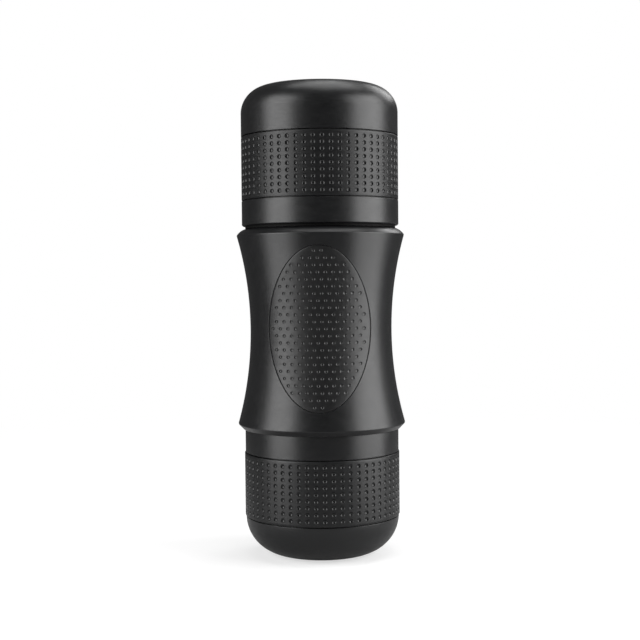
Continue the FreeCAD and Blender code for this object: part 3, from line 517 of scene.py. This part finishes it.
def pitted_band(graph, sizes):
    """A sleeve with rows of pits: a flat strip with eased edges and a plain back, wrapped round the axis."""
    radius, low, high = sizes["Radius"], sizes["Low"], sizes["High"]
    margin, ease, wall = sizes["Margin"], sizes["Ease"], sizes["Wall"]
    columns, rows = sizes["Columns"], sizes["Rows"]
    pitch_round = radius * (2 * math.pi) / columns
    strip = high - low - (margin + ease) * 2
    pitch_up = strip / rows
    cell = pit_cell(graph, sizes, pitch_round, pitch_up)
    sheet = merged(graph, copied(graph, grid(graph, columns, rows, pitch_round, pitch_up), cell), BAND_WELD)
    eased = [(ease * up_share, ease * out_share) for up_share, out_share in BAND_EASE_STEPS]
    for side in (1, -1):
        height = graph.split(position(graph))[1] * side
        edge = open_edges(graph) * (height > strip / 2 - BAND_WELD)
        for up_step, out_step in ((margin, 0.0), *eased, (0.0, ease - wall)):
            offset = graph.combine(0.0, up_step * side, out_step)
            sheet, edge = extruded(graph, "EDGES", sheet, edge, Offset=offset)
    closed, _ = extruded(graph, "EDGES", sheet, edge, Offset=graph.combine(0.0, high - low, 0.0))
    along, up, out = graph.split(position(graph))
    turn = along / radius
    skin = radius + out
    height = up + (low + high) / 2
    wrapped = graph.combine(skin * turn.maths("SINE"), skin * turn.maths("COSINE") * -1, height)
    return merged(graph, moved(graph, closed, wrapped), BAND_WELD)


def dimple_places(graph, sizes):
    """Staggered points within the oval, clear of its edge."""
    columns, rows = sizes["Columns"], sizes["Rows"]
    field = grid(graph, columns, rows, sizes["Column Pitch"], sizes["Row Pitch"])
    row = graph.node("GeometryNodeInputIndex").maths("MODULO", rows)
    odd = (row + 1).maths("MODULO", 2.0)
    aside = odd * sizes["Column Pitch"] / 2 + sizes["Shift"]
    places = shifted(graph, field, graph.combine(aside, 0.0, 0.0))
    across, up, _ = graph.split(position(graph))
    beyond_across = across / (sizes["Half Width"] - sizes["Clear Edge"])
    beyond_up = up / (sizes["Half Height"] - sizes["Clear Edge"])
    outside = beyond_across * beyond_across + beyond_up * beyond_up > 1.0
    sockets = {"Geometry": places, "Selection": outside}
    return graph.node("GeometryNodeDeleteGeometry", {"domain": "POINT"}, sockets)


def lipped_side(graph, oval, sizes):
    """The pad's side: the outline rounded over the lip, down to the back and in to where it started."""
    side, edge = oval, True
    first = OVAL_LIP[0][0]
    before = first
    for inset, drop in (*OVAL_LIP[1:], (0.0, None), (first, None)):
        step, edge = raised_in_place(graph, "EDGES", side, edge)
        across, up, _ = graph.split(position(graph))
        ring = graph.combine(
            across * (sizes["Half Width"] - inset) / (sizes["Half Width"] - before),
            up * (sizes["Half Height"] - inset) / (sizes["Half Height"] - before),
            sizes["Thickness"] * -1 if drop is None else -drop,
        )
        side = moved(graph, step, ring, edge)
        before = inset
    return side


def dimpled_pad(graph, sizes):
    """The oval grip pad: a sheet between its outline and staggered dimples, laid on the body's waist."""
    places = dimple_places(graph, sizes)
    disc = circle(graph, sizes["Sides"], sizes["Dimple Radius"], "NGON")
    ring = circle(graph, sizes["Sides"], sizes["Dimple Radius"])
    bowl = hollowed(graph, disc, sizes["Dimple Radius"], sizes["Dimple Depth"], DIMPLE_RINGS)
    bowl = creased(graph, bowl, sizes["Dimple Radius"], DIMPLE_SIDES)
    rings = copied(graph, places, ring)
    bowls = copied(graph, places, bowl)
    lip = OVAL_LIP[0][0]
    halves = graph.combine(sizes["Half Width"] - lip, sizes["Half Height"] - lip, 1.0)
    unit_circle = circle(graph, sizes["Oval Sides"], 1.0)
    oval = moved(graph, unit_circle, graph.vector("MULTIPLY", position(graph), halves))
    outline = graph.node("GeometryNodeMeshToCurve", None, {"Mesh": joined(graph, oval, rings)})
    land = graph.node("GeometryNodeFillCurve", None, {"Curve": outline})
    front = merged(graph, joined(graph, land, bowls), GRIP_WELD)
    flat = moved(graph, front, graph.vector("MULTIPLY", position(graph), (1.0, 1.0, 0.0)))
    sunk = shifted(graph, flat, graph.combine(0.0, 0.0, sizes["Thickness"] * -1))
    back = graph.node("GeometryNodeFlipFaces", None, {"Mesh": sunk})
    pad = merged(graph, joined(graph, front, lipped_side(graph, oval, sizes), back), GRIP_WELD)
    across, up, out = graph.split(position(graph))
    height = up + sizes["Height"]
    from_waist = height - sizes["Waist Height"]
    curve = sizes["Waist Curve"]
    swell = curve - (curve * curve - from_waist * from_waist).maths("SQRT")
    skin = sizes["Waist Radius"] + swell + out
    deep = (skin * skin - across * across).maths("SQRT") * -1
    return moved(graph, pad, graph.combine(across, deep, height))


def grown(name, describe, sizes, finish):
    """Build a Geometry Nodes tree with these named sizes, run it on an empty mesh and keep its result."""
    tree = bpy.data.node_groups.new(name, "GeometryNodeTree")
    for label, value in sizes.items():
        kind = "NodeSocketInt" if isinstance(value, int) else "NodeSocketFloat"
        tree.interface.new_socket(label, in_out="INPUT", socket_type=kind)
    tree.interface.new_socket("Finish", in_out="INPUT", socket_type="NodeSocketMaterial")
    tree.interface.new_socket("Geometry", in_out="OUTPUT", socket_type="NodeSocketGeometry")
    graph = Graph(tree)
    entry = tree.nodes.new("NodeGroupInput")
    inputs = {label: Value(graph, entry.outputs[label]) for label in (*sizes, "Finish")}
    shape = graph.node("GeometryNodeRealizeInstances", None, {"Geometry": describe(graph, inputs)})
    shape = graph.node("GeometryNodeSetShadeSmooth", None, {0: shape, "Shade Smooth": True})
    shape = graph.node("GeometryNodeSetMaterial", None, {"Geometry": shape, "Material": inputs["Finish"]})
    graph.node("NodeGroupOutput", None, {"Geometry": shape})
    carrier = bpy.data.objects.new(f"{name}_carrier", bpy.data.meshes.new(f"{name}_carrier"))
    bpy.context.scene.collection.objects.link(carrier)
    modifier = carrier.modifiers.new("grow", "NODES")
    modifier.node_group = tree
    for item in tree.interface.items_tree:
        if item.item_type == "SOCKET" and item.in_out == "INPUT":
            modifier[item.identifier] = finish if item.name == "Finish" else sizes[item.name]
    depsgraph = bpy.context.evaluated_depsgraph_get()
    mesh = bpy.data.meshes.new_from_object(carrier.evaluated_get(depsgraph))
    carrier.modifiers.remove(modifier)
    bpy.data.objects.remove(carrier)
    mesh.name = name
    piece = bpy.data.objects.new(name, mesh)
    bpy.context.scene.collection.objects.link(piece)
    return piece


def band_sizes(node):
    """The sizes of a pitted band, from the CAD sleeve that it stands for."""
    low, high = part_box(node)
    return {
        "Radius": high.x,
        "Low": low.z + BAND_SEAM,
        "High": high.z - BAND_SEAM,
        "Margin": BAND_MARGIN,
        "Ease": BAND_EASE,
        "Wall": BAND_WALL,
        "Columns": BAND_COLUMNS,
        "Rows": BAND_ROWS,
        "Sides": PIT_SIDES,
        "Pit Radius": PIT_RADIUS,
        "Pit Depth": PIT_DEPTH,
    }


def grip_sizes(node):
    """The sizes of the dimpled pad, from the CAD pad that it stands for and the body's waist."""
    low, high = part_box(node)
    return {
        "Half Width": high.x + GRIP_OVERLAP,
        "Half Height": (high.z - low.z) / 2 + GRIP_OVERLAP,
        "Height": (low.z + high.z) / 2,
        "Thickness": GRIP_THICKNESS,
        "Rows": GRIP_ROWS,
        "Columns": GRIP_COLUMNS,
        "Row Pitch": GRIP_ROW_PITCH,
        "Column Pitch": GRIP_COLUMN_PITCH,
        "Shift": GRIP_SHIFT,
        "Clear Edge": GRIP_CLEAR_EDGE,
        "Sides": DIMPLE_SIDES,
        "Dimple Radius": DIMPLE_RADIUS,
        "Dimple Depth": DIMPLE_DEPTH,
        "Oval Sides": OVAL_SIDES,
        "Waist Radius": WAIST_RADIUS,
        "Waist Height": WAIST_HEIGHT,
        "Waist Curve": WAIST_CURVE,
    }


def dress(piece, body, slot, *nodes):
    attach(piece, body)
    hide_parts(*nodes)


def paint_nodes(finishes):
    """Every CAD node takes the finish of its own slot; the ring in the gap instead takes a near-black matt
    finish, painted shade for the gap.
    """
    for name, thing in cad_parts.items():
        for slot in thing.material_slots:
            own = "painted_shade_ring" if name == "gap_ring" else slot.material.name.split(".")[0]
            slot.material = finishes[own]


def softbox(name, place, across, up, power):
    """A rectangular lamp turned to the object's middle."""
    lamp = bpy.data.lights.new(name, "AREA")
    lamp.shape = "RECTANGLE"
    lamp.size = across
    lamp.size_y = up
    lamp.energy = power
    thing = bpy.data.objects.new(name, lamp)
    thing.location = place
    thing.rotation_mode = "QUATERNION"
    thing.rotation_quaternion = (Vector((0, 0, AIM_HEIGHT)) - Vector(place)).to_track_quat("-Z", "Y")
    thing.visible_camera = False
    bpy.context.scene.collection.objects.link(thing)


def whiteness(path):
    """White to the camera, and a dim room in reflections and through clear pieces."""
    mirrored = path.also("Is Glossy Ray").maths("MAXIMUM", path.also("Is Transmission Ray"))
    return path.maths("MAXIMUM", mirrored * MIRRORED_WHITE)


def between(graph, distance, near, far):
    """0 up to a distance, 1 from another on, and eased between them."""
    sockets = {"Value": distance, "From Min": near, "From Max": far}
    return graph.node("ShaderNodeMapRange", {"interpolation_type": "SMOOTHSTEP"}, sockets)


def mixed_shaders(graph, amount, first, second):
    return graph.node("ShaderNodeMixShader", None, {0: amount, 1: first, 2: second})


def paint_floor(graph):
    """Chalk that takes the shadow near the object, plain white far off, and a sheen for reflected rays."""
    path = graph.node("ShaderNodeLightPath")
    seen = whiteness(path)
    distance = graph.length(coordinates(graph))
    chalk = graph.node("ShaderNodeBsdfDiffuse", None, {"Color": FLOOR_CHALK})
    glow = graph.node("ShaderNodeEmission", None, {"Color": WHITE, "Strength": seen * FLOOR_GLOW})
    lit_chalk = graph.node("ShaderNodeAddShader", None, {0: chalk, 1: glow})
    white = graph.node("ShaderNodeEmission", None, {"Color": WHITE, "Strength": seen})
    plain = mixed_shaders(graph, between(graph, distance, FLOOR_NEAR, FLOOR_FAR), lit_chalk, white)
    sheen = graph.node("ShaderNodeBsdfGlossy", None, FLOOR_SHEEN)
    shine = path.also("Is Glossy Ray") * between(graph, distance, FLOOR_MATT, FLOOR_SATIN) * FLOOR_GLOSS
    graph.node("ShaderNodeOutputMaterial", None, {"Surface": mixed_shaders(graph, shine, plain, sheen)})


def make_floor():
    mesh = bpy.data.meshes.new("floor")
    corners = [(x * FLOOR_REACH, y * FLOOR_REACH, 0) for x, y in ((-1, -1), (1, -1), (1, 1), (-1, 1))]
    mesh.from_pydata(corners, [], [(0, 1, 2, 3)])
    floor = bpy.data.objects.new("floor", mesh)
    floor.location.z = -FLOOR_DROP
    bpy.context.scene.collection.objects.link(floor)
    material = bpy.data.materials.new("pale_floor")
    material.use_nodes = True
    material.node_tree.nodes.clear()
    paint_floor(Graph(material.node_tree))
    mesh.materials.append(material)


def make_surroundings():
    world = bpy.data.worlds.new("studio")
    bpy.context.scene.world = world
    world.use_nodes = True
    world.node_tree.nodes.clear()
    graph = Graph(world.node_tree)
    strength = whiteness(graph.node("ShaderNodeLightPath")).maths("MAXIMUM", WORLD_LIGHT)
    air = graph.node("ShaderNodeBackground", None, {"Color": WHITE, "Strength": strength})
    graph.node("ShaderNodeOutputWorld", None, {"Surface": air})


def make_camera():
    camera = bpy.data.objects.new("camera", bpy.data.cameras.new("camera"))
    camera.data.lens = VIEW_LENS
    camera.data.sensor_width = VIEW_SENSOR
    camera.data.clip_start = VIEW_NEAREST
    upright = Matrix.Rotation(math.pi / 2 - VIEW_PITCH, 4, "X") @ Matrix.Rotation(VIEW_ROLL, 4, "Z")
    around = Matrix.Rotation(VIEW_TURN, 4, "Z")
    camera.matrix_world = around @ Matrix.Translation((VIEW_ASIDE, -VIEW_DISTANCE, VIEW_HEIGHT)) @ upright
    bpy.context.scene.collection.objects.link(camera)
    bpy.context.scene.camera = camera


FINISHES = make_finishes()
paint_nodes(FINISHES)
for band, sleeve, body in (("cup_band", "cup_sleeve", "cup"), ("tank_band", "tank_sleeve", "tank")):
    piece = grown(band, pitted_band, band_sizes(sleeve), FINISHES["sleeve_plastic"])
    dress(piece, body, "sleeve_plastic", sleeve)
pad = grown("grip_face", dimpled_pad, grip_sizes("grip_pad"), FINISHES["grip_rubber"])
dress(pad, "main", "grip_rubber", "grip_pad")
make_floor()
make_surroundings()
for name, box in SOFTBOXES.items():
    softbox(name, **box)
make_camera()
bpy.context.scene.view_settings.view_transform = "Standard"
